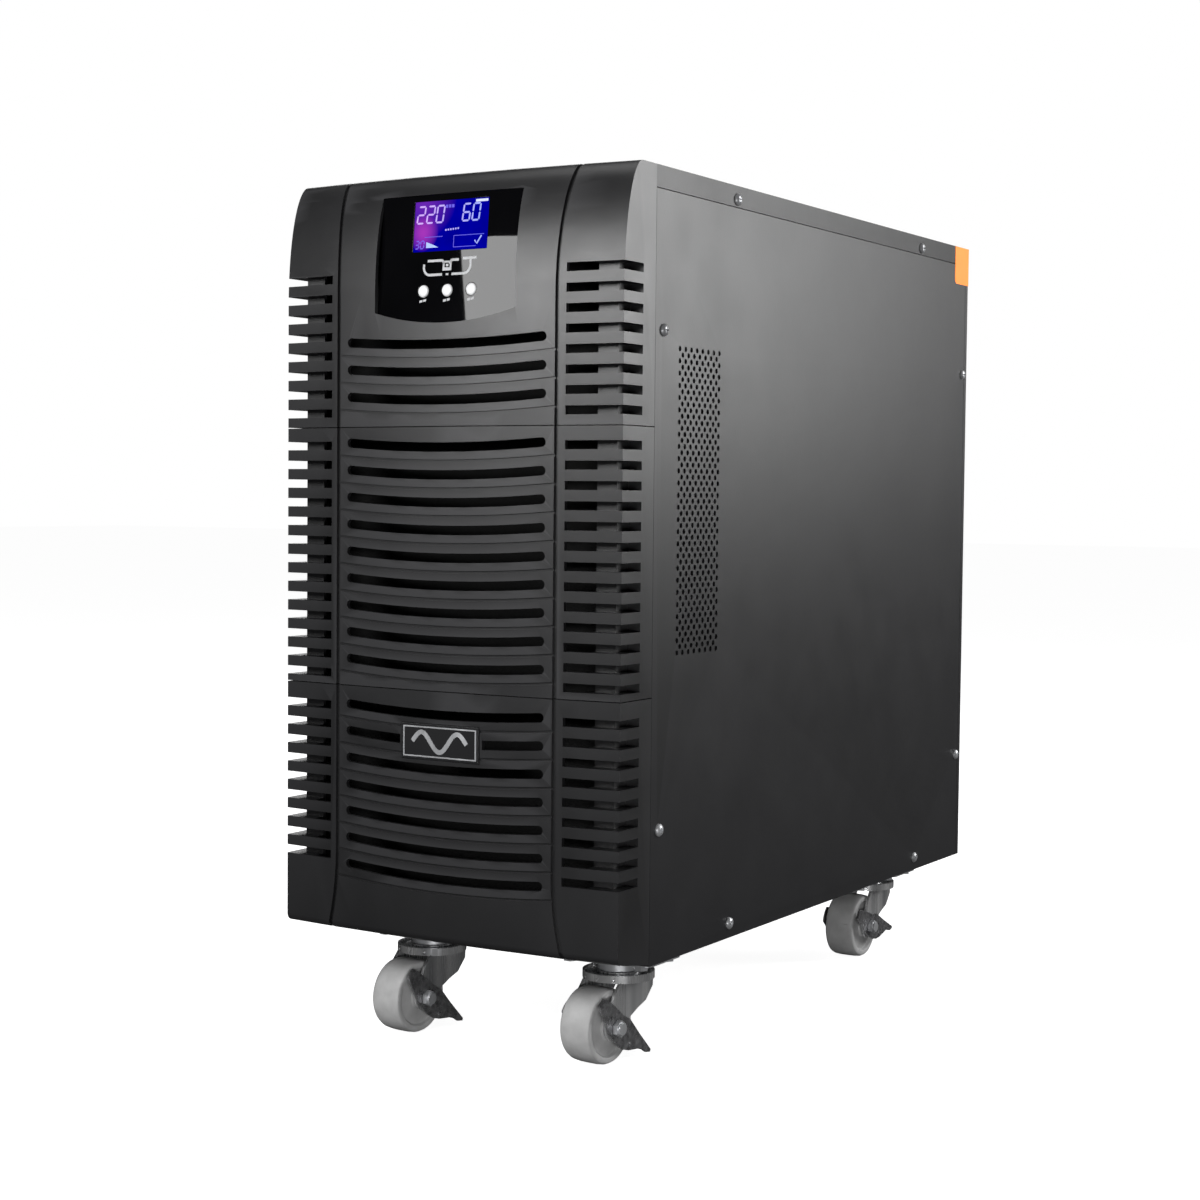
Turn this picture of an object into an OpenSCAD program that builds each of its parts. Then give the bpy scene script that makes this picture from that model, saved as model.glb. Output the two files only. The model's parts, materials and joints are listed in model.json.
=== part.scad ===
// Tower uninterruptible power supply on four braked swivel casters.
// Frame: +Z up, front towards -Y, origin on the floor under the middle of the whole unit.

/* [Cabinet] */
// Width of the steel cabinet
cab_w = 260; // [256:1:264]
// Depth of the cabinet from the bezel joint to the rear face
cab_d = 515; // [510:1:525]
// Height of the cabinet above its own underside
cab_h = 500; // [498:1:504]
// Thickness of the steel sheet
sheet = 1.2; // [1:0.1:1.4]
// Height of the top cover's side flange
flange_h = 14; // [12:1:16]
// How far the terminal cover stands out behind the cabinet
rear_out = 22; // [18:1:26]

/* [Bezel] */
// Depth of the bezel at its sides
bezel_d = 38; // [36:1:40]
// Extra depth of the bowed front at the middle
bulge = 6; // [4:0.5:8]
// Wall of the bezel mouldings
wall = 3; // [2.5:0.5:3.5]
// Rise of the bezel's underside towards the front
lip_rise = 7; // [5:1:9]
// Set-back of the curved brow at the top
brow_back = 21; // [18:1:23]
// Height of the curved brow
brow_h = 80; // [70:1:85]
// Height of one central louvre slot
slot_h = 6; // [5:0.5:7]
// Pitch of the central louvre slots
slot_pitch = 17.6; // [17.4:0.1:17.8]
// Height of one corner louvre notch
notch_h = 5.5; // [5:0.5:6]
// Pitch of the corner louvre notches
notch_pitch = 12.45; // [12.3:0.05:12.5]
// Depth of the corner louvre notches
notch_d = 9; // [8:0.5:10]

/* [Display] */
// Half width of the display lens
lens_x = 54; // [52:1:56]
// Lean of the display lens from the vertical
lens_lean = 4.87; // [4:0.1:6]
// Radius of a push button
button_r = 3.85; // [3.5:0.05:4]
// Distance between push buttons
button_pitch = 18.5; // [17:0.5:20]
// Travel of a push button
button_travel = 1; // [0.6:0.1:1.2]

/* [Perforation] */
// Across-corners size of one vent hole
vent_d = 3.6; // [3:0.1:4]
// Pitch of the vent columns
vent_px = 7.5; // [7.2:0.1:8]
// Pitch of the vent rows
vent_pz = 7.7; // [7.4:0.1:8]

/* [Casters] */
// Total height of a caster
caster_h = 75; // [74:1:78]
// Radius of a caster wheel
wheel_r = 25; // [24:0.5:25.5]
// Width of a caster wheel
wheel_w = 24; // [22:1:24]
// Trail of the wheel behind its swivel axis
trail = 25; // [22:1:26]
// Distance of the swivel axes from the middle
caster_x = 76; // [74:1:84]
// Radial running clearance of pins and axles
run_gap = 0.05; // [0.03:0.01:0.08]

/* [Rear] */
// Width of a cooling fan
fan_w = 92; // [90:1:92]
// Depth of a cooling fan
fan_d = 25; // [24:1:26]
// Number of blades on a fan rotor
fan_blades = 7; // [5:1:9]
// Radius of the cable entries in the terminal cover
entry_r = 8.5; // [6:0.5:8.5]

/* [Batteries] */
// Long side of a battery block
bat_l = 151; // [149:1:151]
// Short side of a battery block
bat_w = 65; // [63:1:65]
// Height of a battery block without its terminals
bat_h = 94; // [90:1:95]

/* [Hidden] */

// Colours
plastic = [0.13, 0.13, 0.14];
steel_paint = [0.16, 0.16, 0.17];
zinc = [0.66, 0.67, 0.68];
dark_steel = [0.22, 0.22, 0.23];

// Where things are. The joint plane is where the bezel meets the cabinet.
front_y = bezel_d + bulge;
badge_out = 0.8;
joint_y = (front_y + badge_out - cab_d - rear_out) / 2;
half_w = cab_w / 2;
plan_r = (half_w * half_w + bulge * bulge) / (2 * bulge);
gap = 0.3;
through = 1;
fine = 256;
fillet_r = 5;

// Bezel seams, and the louvre groups as [end height of the top slot, number of slots]
seam_1 = 338.3;
seam_2 = 169.5;
seam_gap = 0.6;
slot_x = 77;
slot_sag = 3.1;
slot_bend = (slot_x * slot_x + slot_sag * slot_sag) / (2 * slot_sag);
slot_groups = [[393.4, 3], [328.3, 9], [157.5, 7]];
notch_groups = [[434.8, 8], [326.4, 13], [155.6, 9]];
notch_x0 = 90.6;
post_x = 106.6;
notch_side_y = 15;
rail_x = 84.5;
rail_w = 3.2;
rail_deep = 2;
line_w = 1.6;
line_deep = 1.2;
badge_w = 60;
badge_h = 23;
badge_z = slot_groups[2][0] - slot_pitch - slot_sag;

// Display lens, in its own leaning plane with its foot at lens_z
lens_z = 403.8;
lens_face = 41;
lens_t = 3;
lens_top = 82.4;
lens_sag = 7.8;
lens_bend = (lens_x * lens_x + lens_sag * lens_sag) / (2 * lens_sag);
lcd_x = 28.5;
lcd_v0 = 46.4;
lcd_v1 = 78.4;
button_v = 20.8;

// Screws as [position along the face, height], head size, and the two joggle planes of the sheets
screw_r = 2;
screw_head_r = 4;
screw_head_h = 2.4;
side_screws = [
  [10.5, 398.7], [10.5, 85.3], [cab_d - 10, 397], [cab_d - 10, 84],
  [107, 10], [421, 10], [107, cab_h - 9], [417, cab_h - 9]
];
screw_l = 3.6;
rear_screws = [
  [-95, cab_h - 7], [0, cab_h - 7], [95, cab_h - 7], [-100, 10], [0, 10], [100, 10]
];
inner_x = half_w - sheet - 0.2;
lap = 10;
panel_end = cab_d - 5.6;
panel_top = cab_h - flange_h - 0.6;

// Rear fittings, as x and height above the cabinet's underside
fan_x = 54;
fan_z = 424;
fan_r = 43;
hub_r = 18;
breaker_x = -88;
breaker_z = 335;
bypass_x = -30;
bypass_z = 335;
ports_x = 50;
ports_z = 352;
card_x = 60;
card_z = 306;
term_x = 0;
term_z = 222;
term_w = 190;
term_h = 70;
entry_x = [-60, -20, 20, 60];
stud_x = -108;
stud_z = 170;
stud_r = 3;
stud_out = 14;

// Inside
bat_z = [10, 116];
shelf_z = [8, 114];
deck_z = 222;
rack_y = 22;

// Casters
caster_y = [54, 447];
caster_turn = [-5, 0];
brake_lift = [0, 20];
pad_t = 6.5;
plate_t = 2.5;
plate_z = caster_h - pad_t - plate_t;
plate_w = 72;
plate_l = 44;
bolt_at = [27, 17];
pin_r = 5;
head_r = 24;
race_r = 14;
race_z = plate_z - 8.5;
head_z0 = race_z - 5;
axle_r = 4;
leg_in = wheel_w / 2 + 1.2;
leg_out = leg_in + 2;
brake_in = leg_out + 0.4;
brake_out = brake_in + 1.6;
nut_out = brake_out + 3.6;

// ---------- helpers ----------

// Moves children from the cabinet's own corner system to the unit's frame.
module at_cabinet() {
  translate([0, joint_y, caster_h]) children();
}

// A flat shape drawn in x and z, given thickness from y0 to y1.
module slab(y0, y1) {
  translate([0, y1, 0]) rotate([90, 0, 0]) linear_extrude(y1 - y0) children();
}

// A flat shape drawn in y and z, given thickness from x0 to x1.
module side_slab(x0, x1) {
  translate([x0, 0, 0]) rotate([90, 0, 90]) linear_extrude(x1 - x0) children();
}

// A box between two corners.
module block(a, b) {
  translate(a) cube(b - a);
}

module both_sides() {
  children();
  mirror([1, 0, 0]) children();
}

module rounded_rect(w, h, r) {
  square([w - 2 * r, h], center = true);
  square([w, h - 2 * r], center = true);
  for (sx = [-1, 1])
    for (sz = [-1, 1])
      translate([sx * (w / 2 - r), sz * (h / 2 - r)]) circle(r = r, $fn = 32);
}

// ---------- bezel ----------

// Outline of the bezel from the side as radius and height, shrunk by an inset.
function bezel_profile(inset) = let (
  r_front = plan_r - inset,
  r_brow = plan_r - brow_back,
  r_round = fillet_r - min(inset, 4),
  z_round = lip_rise + fillet_r
) concat(
  [[plan_r - front_y - 10, inset], [plan_r - front_y, inset]],
  [for (i = [0:6]) let (a = -90 + 15 * i)
    [r_front - r_round + r_round * cos(a), z_round + inset - min(inset, 4) + r_round * sin(a)]],
  [for (i = [0:20]) let (a = 4.5 * i)
    [r_brow + (brow_back - inset) * cos(a), cab_h - brow_h + (brow_h - inset) * sin(a)]],
  [[plan_r - front_y - 10, cab_h - inset]]
);

// Bezel volume bounded by the bowed front, the brow and the two sides.
module bezel_volume(inset, reach) {
  intersection() {
    translate([0, plan_r - front_y, 0])
      rotate_extrude($fn = fine) polygon(bezel_profile(inset));
    block([-half_w + reach, -front_y - 5, -5], [half_w - reach, 0, cab_h + 5]);
  }
}

// Hollow behind the front wall, narrower behind the louvred corner posts.
module bezel_hollow() {
  post_t = notch_d + 2.5;
  intersection() {
    bezel_volume(wall, wall);
    union() {
      block([-post_x, -front_y, 0], [post_x, through, cab_h]);
      block([-half_w + post_t, -bezel_d + post_t, 0], [half_w - post_t, through, cab_h]);
      block([-half_w, -notch_side_y + wall, 0], [half_w, through, cab_h]);
    }
  }
  block([-half_w + wall, -4, wall], [half_w - wall, through, cab_h - wall]);
}

// The curve that the central louvres follow, as a band of a given height.
module smile(mid_z, band, x_end) {
  intersection() {
    translate([0, mid_z + slot_bend]) difference() {
      circle(r = slot_bend + band / 2, $fn = fine);
      circle(r = slot_bend - band / 2, $fn = fine);
    }
    translate([-x_end, mid_z - 10]) square([2 * x_end, 30]);
  }
}

// One round-ended louvre slot whose ends are at end_z.
module smile_slot(end_z) {
  flat_x = slot_x - slot_h / 2;
  end_rise = flat_x * flat_x / (2 * slot_bend);
  smile(end_z - slot_sag, slot_h, flat_x);
  for (s = [-1, 1])
    translate([s * flat_x, end_z - slot_sag + end_rise]) circle(d = slot_h, $fn = 48);
}

// All slots of one louvre group; the badge keeps its own stretch closed.
module slot_group(g) {
  difference() {
    for (i = [0:slot_groups[g][1] - 1]) smile_slot(slot_groups[g][0] - i * slot_pitch);
    if (g == 2)
      translate([-badge_w / 2 - 2, badge_z - badge_h / 2])
        square([badge_w + 4, badge_h]);
  }
}

// Fine lines halfway between the slots.
module line_group(g) {
  for (i = [0:slot_groups[g][1] - 1])
    smile(slot_groups[g][0] - slot_sag - (i + 0.5) * slot_pitch, line_w, rail_x);
}

// Vertical groove beside the louvres, flaring outwards at its foot and at its head.
module rail_groove() {
  function flare(z) = 9 * pow(max(0, 60 - z) / 60, 2) + 5 * pow(max(0, z - 420) / 80, 2);
  heights = [-5, 10, 20, 30, 40, 50, 60, 420, 440, 460, 480, 505];
  left = [for (z = heights) [rail_x - rail_w / 2 + flare(z), z]];
  right = [for (i = [len(heights) - 1:-1:0])
    [rail_x + rail_w / 2 + flare(heights[i]), heights[i]]];
  polygon(concat(left, right));
}

// The notches of one corner group on the +X side.
module notch_group(g) {
  for (i = [0:notch_groups[g][1] - 1])
    translate([0, 0, notch_groups[g][0] - i * notch_pitch - notch_h / 2])
      linear_extrude(notch_h) {
        translate([notch_x0, -front_y - 5])
          square([post_x - notch_x0, 5 + front_y - bezel_d + notch_d + 4]);
        translate([notch_x0, -front_y - 5])
          square([half_w + 5 - notch_x0, 5 + front_y - bezel_d + notch_d]);
        translate([half_w - notch_d, -front_y - 5])
          square([notch_d + 5, 5 + front_y - notch_side_y]);
      }
}

// Decorative cuts that follow the skin at a constant depth.
module skin_cut(deep) {
  difference() {
    slab(-front_y - 5, -5) children();
    translate([0, deep, 0]) bezel_volume(0, -2);
  }
}

// One of the three mouldings: group number, and its lowest and highest point.
module bezel_part(g, z0, z1) {
  color(plastic) at_cabinet() difference() {
    intersection() {
      bezel_volume(0, 0);
      block([-half_w - 1, -front_y - 2, z0], [half_w + 1, 0, z1]);
    }
    bezel_hollow();
    slab(-front_y - 5, -bezel_d + wall + 8) slot_group(g);
    both_sides() notch_group(g);
    skin_cut(line_deep) line_group(g);
    skin_cut(rail_deep) {
      rail_groove();
      mirror([1, 0]) rail_groove();
    }
    children();
  }
}

module bezel_top() {
  bezel_part(0, seam_1 + seam_gap / 2, cab_h + 5) lens_window();
}

module bezel_middle() {
  bezel_part(1, seam_2 + seam_gap / 2, seam_1 - seam_gap / 2);
}

module bezel_bottom() {
  bezel_part(2, -5, seam_2 - seam_gap / 2)
    slab(-front_y - 5, -front_y + 1.2) translate([0, badge_z])
      square([badge_w + 0.6, badge_h + 0.6], center = true);
}

module badge() {
  color("dimgray") at_cabinet()
    slab(-front_y - badge_out, -front_y + 1.1) translate([0, badge_z])
      square([badge_w, badge_h], center = true);
}

// ---------- display ----------

// Local system of the leaning lens: y is 0 on its face, z runs up the face.
module at_lens() {
  translate([0, -lens_face, lens_z]) rotate([-lens_lean, 0, 0]) children();
}

module lens_outline(grow) {
  intersection() {
    translate([0, lens_bend]) circle(r = lens_bend + grow, $fn = fine);
    translate([-lens_x - grow, -grow - 1]) square([2 * (lens_x + grow), lens_top + 2 * grow + 1]);
  }
}

module lens_window() {
  at_lens() slab(-15, 14) lens_outline(gap);
}

module lcd_outline(grow) {
  translate([-lcd_x - grow, lcd_v0 - grow])
    square([2 * (lcd_x + grow), lcd_v1 - lcd_v0 + 2 * grow]);
}

module display_lens() {
  color([0.02, 0.02, 0.02]) at_cabinet() at_lens() slab(0, lens_t) difference() {
    lens_outline(0);
    lcd_outline(0.15);
    for (i = [-1:1]) translate([i * button_pitch, button_v]) circle(r = button_r + 0.25, $fn = 48);
  }
}

module lcd_module() {
  color([0.05, 0.05, 0.7]) at_cabinet() at_lens() {
    slab(0.3, lens_t + 0.6) lcd_outline(0);
    slab(lens_t + 0.4, lens_t + 6) lcd_outline(3);
  }
}

module display_board() {
  color("darkgreen") at_cabinet() at_lens() difference() {
    union() {
      slab(lens_t + 6, lens_t + 7.6)
        translate([-lens_x + 4, 8]) square([2 * lens_x - 8, lens_top - 12]);
      for (s = [-1, 1]) for (v = [14, 66])
        translate([s * 44, lens_t, v]) rotate([-90, 0, 0]) cylinder(r = 3, h = 6.2, $fn = 32);
    }
    for (i = [-1:1]) translate([i * button_pitch, lens_t + 5, button_v])
      rotate([-90, 0, 0]) cylinder(r = 1.5, h = 4, $fn = 32);
  }
}

// A push button: domed cap, and a collar behind the lens that keeps it in.
module button(i) {
  color("white") at_cabinet() at_lens() translate([i * button_pitch, 0.1 - button_travel, button_v])
    rotate([-90, 0, 0]) {
      rotate_extrude($fn = 64) polygon([
        [0, 0], [button_r - 1, 0.1], [button_r - 0.3, 0.4], [button_r, 0.9],
        [button_r, lens_t + 1.2], [0, lens_t + 1.2]
      ]);
      translate([0, 0, lens_t + 1.2]) cylinder(r = button_r + 1, h = 0.8, $fn = 48);
      translate([0, 0, lens_t + 1.9]) cylinder(r = 1.3, h = 3, $fn = 32);
    }
}

module button_left() { button(-1); }
module button_middle() { button(0); }
module button_right() { button(1); }

// ---------- cabinet sheets ----------

// Every screw that goes through a sheet, placed pointing into its face.
module at_screws() {
  for (s = [-1, 1]) for (p = side_screws)
    translate([s * half_w, p[0], p[1]]) rotate([0, s * 90, 0]) children();
  for (p = rear_screws)
    translate([p[0], cab_d, p[1]]) rotate([-90, 0, 0]) children();
  for (s = [-1, 1]) for (z = [-22, 22])
    translate([term_x + s * (term_w / 2 + 6.5), cab_d + 1.6, term_z + z]) rotate([-90, 0, 0]) children();
}

module screw_clearance() {
  at_screws() translate([0, 0, -12]) cylinder(r = screw_r + 0.15, h = 13, $fn = 32);
}

module cover_screws() {
  color(zinc) at_cabinet() at_screws() difference() {
    union() {
      rotate_extrude($fn = 48) polygon([
        [0, 0], [screw_head_r, 0], [screw_head_r, 0.8], [screw_head_r - 0.7, 1.7],
        [screw_head_r - 2, screw_head_h], [0, screw_head_h]
      ]);
      translate([0, 0, -screw_l]) cylinder(r = screw_r, h = screw_l + 0.1, $fn = 32);
    }
    for (a = [0, 90]) rotate([0, 0, a])
      translate([-2.2, -0.45, screw_head_h - 1.4]) cube([4.4, 0.9, 2]);
  }
}

module top_cover() {
  color(steel_paint) at_cabinet() difference() {
    union() {
      block([-half_w, 0, cab_h - sheet], [half_w, cab_d, cab_h]);
      both_sides() block([half_w - sheet, 0, cab_h - flange_h], [half_w, cab_d, cab_h]);
      block([-half_w, cab_d - sheet, cab_h - flange_h], [half_w, cab_d, cab_h]);
    }
    screw_clearance();
  }
}

// Staggered vent field near the front edge of a side panel.
module vent_field() {
  for (i = [0:7]) for (j = [0:25])
    translate([31.5 + i * vent_px, 196 + j * vent_pz]) circle(d = vent_d, $fn = 8);
  for (i = [0:6]) for (j = [0:24])
    translate([31.5 + (i + 0.5) * vent_px, 196 + (j + 0.5) * vent_pz]) circle(d = vent_d, $fn = 8);
}

module side_panel() {
  difference() {
    union() {
      side_slab(half_w - sheet, half_w) difference() {
        translate([gap, 0]) square([panel_end - gap, panel_top]);
        vent_field();
      }
      block([inner_x - sheet, gap + 2, panel_top - 3], [inner_x, panel_end, panel_top + lap]);
      block([inner_x - sheet, gap, panel_top - 3], [half_w, panel_end, panel_top - 3 + sheet]);
    }
    screw_clearance();
  }
}

module side_panel_right() { color(steel_paint) at_cabinet() side_panel(); }
module side_panel_left() { color(steel_paint) at_cabinet() mirror([1, 0, 0]) side_panel(); }

// The rear tray: face, an outer rim level with the side panels, and a joggled inner flange.
module rear_panel() {
  color(steel_paint) at_cabinet() difference() {
    union() {
      slab(cab_d - sheet, cab_d) difference() {
        translate([-half_w, 0]) square([cab_w, cab_h - flange_h - 0.6]);
        for (s = [-1, 1]) translate([s * fan_x, fan_z]) circle(r = fan_r, $fn = 128);
        translate([breaker_x, breaker_z]) square([30, 48], center = true);
        translate([bypass_x, bypass_z]) circle(r = 16.3, $fn = 64);
        translate([ports_x, ports_z]) square([104, 20], center = true);
        translate([card_x, card_z]) square([74, 38], center = true);
        translate([term_x, term_z]) square([term_w - 24, term_h - 26], center = true);
        translate([stud_x, stud_z]) circle(r = stud_r + 0.2, $fn = 48);
        for (i = [0:8]) for (j = [0:7])
          translate([(i - 4) * 20, 50 + j * 12]) square([14, 4], center = true);
      }
      both_sides() {
        block([half_w - sheet, panel_end + 0.4, 0], [half_w, cab_d, panel_top]);
        block([inner_x - sheet, cab_d - 20, 3], [inner_x, cab_d - 2, panel_top - 4]);
        block([inner_x - sheet, panel_end + 0.4, 3], [half_w, panel_end + 1.6, panel_top - 4]);
      }
      block([-half_w + 4, cab_d - 2.6, panel_top - 2 * sheet],
        [half_w - 4, cab_d, panel_top - sheet]);
      block([-half_w + 4, cab_d - 2.6, panel_top - 2 * sheet],
        [half_w - 4, cab_d - 1.4, cab_h - 3]);
    }
    screw_clearance();
    at_fan_screws() translate([0, 0, -3]) cylinder(r = 2.2, h = 6, $fn = 32);
  }
}

// Bottom sheet with folded sides, and a pad over every caster.
module base_plate() {
  color(steel_paint) at_cabinet() difference() {
    union() {
      block([-inner_x, gap, 0], [inner_x, cab_d - sheet - 0.4, sheet]);
      both_sides() block([inner_x - sheet, 20, 0], [inner_x, cab_d - 24, 18]);
      block([-112, cab_d - 2 * sheet - 0.4, 0], [112, cab_d - sheet - 0.4, 18]);
      for (sx = [-1, 1]) for (y = caster_y) translate([sx * caster_x, y, gap - pad_t])
        linear_extrude(pad_t) rounded_rect(plate_w - 4, plate_l - 2, 5);
    }
    screw_clearance();
    at_caster_bolts() translate([0, 0, -pad_t - 1]) cylinder(r = 3.2, h = pad_t + 4, $fn = 32);
  }
}

// Frame behind the bezel with air windows, folded back at both sides.
module front_frame() {
  color(steel_paint) at_cabinet() difference() {
    union() {
      slab(gap, gap + sheet) difference() {
        translate([-inner_x, 2]) square([2 * inner_x, panel_top - 6]);
        for (i = [0:3]) for (j = [0:3])
          translate([(i - 1.5) * 58, 62 + j * 96]) rounded_rect(46, 84, 4);
        translate([0, 440]) rounded_rect(50, 30, 4);
      }
      both_sides() block([inner_x - sheet, gap, 2], [inner_x, 18, panel_top - 4]);
    }
    screw_clearance();
  }
}

// Adhesive seal folded over the rear edge of the right side.
module seal_label() {
  t = 0.3;
  color([1, 0.42, 0]) at_cabinet() {
    side_slab(half_w, half_w + t) {
      translate([cab_d - 24, cab_h - 30]) square([24 + t, 30]);
      translate([cab_d - 28, cab_h - 26]) square([6, 26]);
      translate([cab_d - 24, cab_h - 26]) circle(r = 4, $fn = 48);
    }
    block([half_w - 26, cab_d, cab_h - 30], [half_w + t, cab_d + t, cab_h]);
  }
}

// ---------- inside ----------

// Trays under the two layers of batteries.
module battery_shelf() {
  color("gainsboro") at_cabinet() {
    for (z = shelf_z) {
      block([-inner_x + 2.5, rack_y - 2, z], [inner_x - 2.5, cab_d - 25, z + 1.5]);
      both_sides() block([inner_x - 4, rack_y - 2, z - 6], [inner_x - 2.5, cab_d - 25, z + 1.5]);
    }
  }
}

// Lower corners of the ten battery blocks in one layer, as [x, y, turned].
layer = concat(
  [for (i = [0:6]) [-bat_l / 2 - 35, rack_y + i * (bat_w + 1), 0]],
  [for (i = [0:2]) [bat_l / 2 - 32, rack_y + i * (bat_l + 1), 1]]
);

module battery_block(turned) {
  size = turned == 1 ? [bat_w, bat_l, bat_h] : [bat_l, bat_w, bat_h];
  difference() {
    cube(size);
    translate([3, 3, bat_h - 1]) cube([size[0] - 6, size[1] - 6, 2]);
  }
  for (across = [12, bat_w - 12])
    translate(turned == 1 ? [across, 10, bat_h - 1.5] : [10, across, bat_h - 1.5])
      translate([-2.4, -3.2, 0]) cube([4.8, 6.4, 6]);
}

module battery_set(z) {
  color([0.2, 0.2, 0.22]) at_cabinet() for (b = layer)
    translate([b[0], b[1], z]) battery_block(b[2]);
}

module battery_set_lower() { battery_set(bat_z[0]); }
module battery_set_upper() { battery_set(bat_z[1]); }

// Copper straps from each battery block to the next.
module battery_links() {
  color("orange") at_cabinet() for (z = bat_z) {
    for (i = [0:5])
      translate([layer[i][0] + 6, layer[i][1] + bat_w - 15, z + bat_h + 4.5]) cube([8, 30, 1]);
    for (i = [7:8])
      translate([layer[i][0] + 8, layer[i][1] + 6, z + bat_h + 4.5])
        cube([8, bat_l + 9, 1]);
  }
}

module electronics_shelf() {
  color("gainsboro") at_cabinet() {
    block([-inner_x + 2.5, 4, deck_z], [inner_x - 2.5, cab_d - 50, deck_z + 1.5]);
    both_sides() block([inner_x - 4, 4, deck_z], [inner_x - 2.5, cab_d - 50, deck_z + 12]);
  }
}

module power_board() {
  color("darkgreen") at_cabinet() {
    block([-105, 30, deck_z + 10], [105, 430, deck_z + 12]);
    for (x = [-96, 96]) for (y = [40, 230, 420])
      translate([x, y, deck_z + 1.5]) cylinder(r = 4, h = 8.7, $fn = 32);
  }
}

// Two finned extrusions standing on the power board.
module heatsinks() {
  color("silver") at_cabinet() for (s = [-1, 1])
    translate([s * 55, 60, deck_z + 12]) rotate([90, 0, 180]) linear_extrude(230) {
      translate([-30, 0]) square([60, 6]);
      for (i = [0:9]) translate([-30 + i * 6.4, 0]) square([2.4, 62]);
    }
}

module inductors() {
  color("peru") at_cabinet() for (i = [0:2])
    translate([-62 + i * 62, 330, deck_z + 42]) rotate([90, 0, 0])
      rotate_extrude($fn = 64) translate([21, 0]) circle(r = 9, $fn = 48);
}

module capacitors() {
  color("navy") at_cabinet() for (i = [0:4]) for (j = [0, 1])
    translate([-76 + i * 38, 370 + j * 38, deck_z + 12]) cylinder(r = 16, h = 50, $fn = 64);
}

module control_board() {
  color("darkgreen") at_cabinet() {
    block([-90, 14, deck_z + 90], [90, 15.6, deck_z + 250]);
    for (i = [0:3]) block([-70 + i * 40, 15.5, deck_z + 120], [-46 + i * 40, 20, deck_z + 150]);
    block([-20, 15.5, deck_z + 200], [20, 22, deck_z + 210]);
  }
}

// Flat cable from the display board back to the control board.
module ribbon_cable() {
  color("lightgray") at_cabinet() side_slab(-12, 12) polygon([
    [-26, 438], [11, 438], [11, 428], [13.5, 428], [13.5, 440], [-26, 440]
  ]);
}

// ---------- rear fittings ----------

module at_fans() {
  for (s = [-1, 1]) translate([s * fan_x, cab_d - sheet - gap, fan_z]) rotate([90, 0, 0]) children();
}

module at_fan_screws() {
  for (s = [-1, 1]) for (i = [-1, 1]) for (j = [-1, 1])
    translate([s * fan_x + i * 41, cab_d, fan_z + j * 41]) rotate([-90, 0, 0]) children();
}

// Fan housings with their motor spiders; local z runs from the rear face inwards.
module fan_frames() {
  color([0.1, 0.1, 0.1]) at_cabinet() at_fans() {
    linear_extrude(fan_d) difference() {
      square(fan_w, center = true);
      circle(r = fan_r, $fn = 128);
      for (i = [-1, 1]) for (j = [-1, 1]) translate([i * 41, j * 41]) circle(r = 2.2, $fn = 32);
    }
    translate([0, 0, fan_d - 3]) linear_extrude(3) {
      circle(r = hub_r, $fn = 64);
      for (a = [0:90:270]) rotate(a) translate([hub_r - 2, -2]) square([fan_r + 3 - hub_r, 4]);
    }
    translate([0, 0, fan_d - 12]) cylinder(r = 2, h = 10, $fn = 48);
  }
}

module fan_rotor(s) {
  color([0.18, 0.18, 0.19]) at_cabinet()
    translate([s * fan_x, cab_d - sheet - gap, fan_z]) rotate([90, 0, 0]) difference() {
      union() {
        translate([0, 0, 3]) cylinder(r = hub_r, h = fan_d - 7, $fn = 64);
        for (i = [0:fan_blades - 1]) rotate([0, 0, i * 360 / fan_blades])
          translate([0, 0, fan_d / 2 - 1]) rotate([38, 0, 0])
            translate([hub_r - 2, -11, -0.8]) cube([24, 22, 1.6]);
      }
      translate([0, 0, fan_d - 12.5]) cylinder(r = 2 + run_gap, h = 10, $fn = 48);
    }
}

module fan_rotor_left() { fan_rotor(1); }
module fan_rotor_right() { fan_rotor(-1); }

// Ring guards and the screws that hold them and the fans.
module fan_guards() {
  color(zinc) at_cabinet() {
    for (s = [-1, 1]) translate([s * fan_x, 0, fan_z]) slab(cab_d + 0.1, cab_d + 1.9) {
      for (r = [10:8:42]) difference() {
        circle(r = r + 0.9, $fn = 96);
        circle(r = r - 0.9, $fn = 96);
      }
      for (a = [45:90:315]) rotate(a) translate([8, -0.9]) square([46, 1.8]);
      circle(r = 9.5, $fn = 64);
      for (a = [45:90:315]) rotate(a) translate([58, 0]) difference() {
        circle(r = 4.6, $fn = 48);
        circle(r = 2.4, $fn = 48);
      }
    }
    at_fan_screws() {
      translate([0, 0, 1.9]) cylinder(r1 = 4, r2 = 2.8, h = 1.8, $fn = 32);
      translate([0, 0, -10]) cylinder(r = 2, h = 12, $fn = 32);
    }
  }
}

module breaker_body() {
  color([0.15, 0.15, 0.16]) at_cabinet() translate([breaker_x, cab_d, breaker_z]) difference() {
    union() {
      block([-14.7, -40, -23.7], [14.7, 1, 23.7]);
      block([-18, 0.1, -27], [18, 3, 27]);
    }
    difference() {
      block([-5, -12, -11], [5, 4, 11]);
      toggle_pin(1.5);
    }
  }
}

// Pivot of the breaker lever.
module toggle_pin(r) {
  translate([-6, -4, 0]) rotate([0, 90, 0]) cylinder(r = r, h = 12, $fn = 48);
}

// Lever of the input breaker, pivoting below the body's face.
module breaker_toggle() {
  color([0.05, 0.05, 0.05]) at_cabinet() translate([breaker_x, cab_d, breaker_z]) difference() {
    translate([0, -4, 0]) rotate([-25, 0, 0]) side_slab(-4.4, 4.4) {
      circle(r = 6, $fn = 48);
      translate([0, -2.4]) square([15.5, 4.8]);
      translate([15.5, 0]) circle(r = 2.4, $fn = 32);
    }
    toggle_pin(1.5 + run_gap);
  }
}

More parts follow.
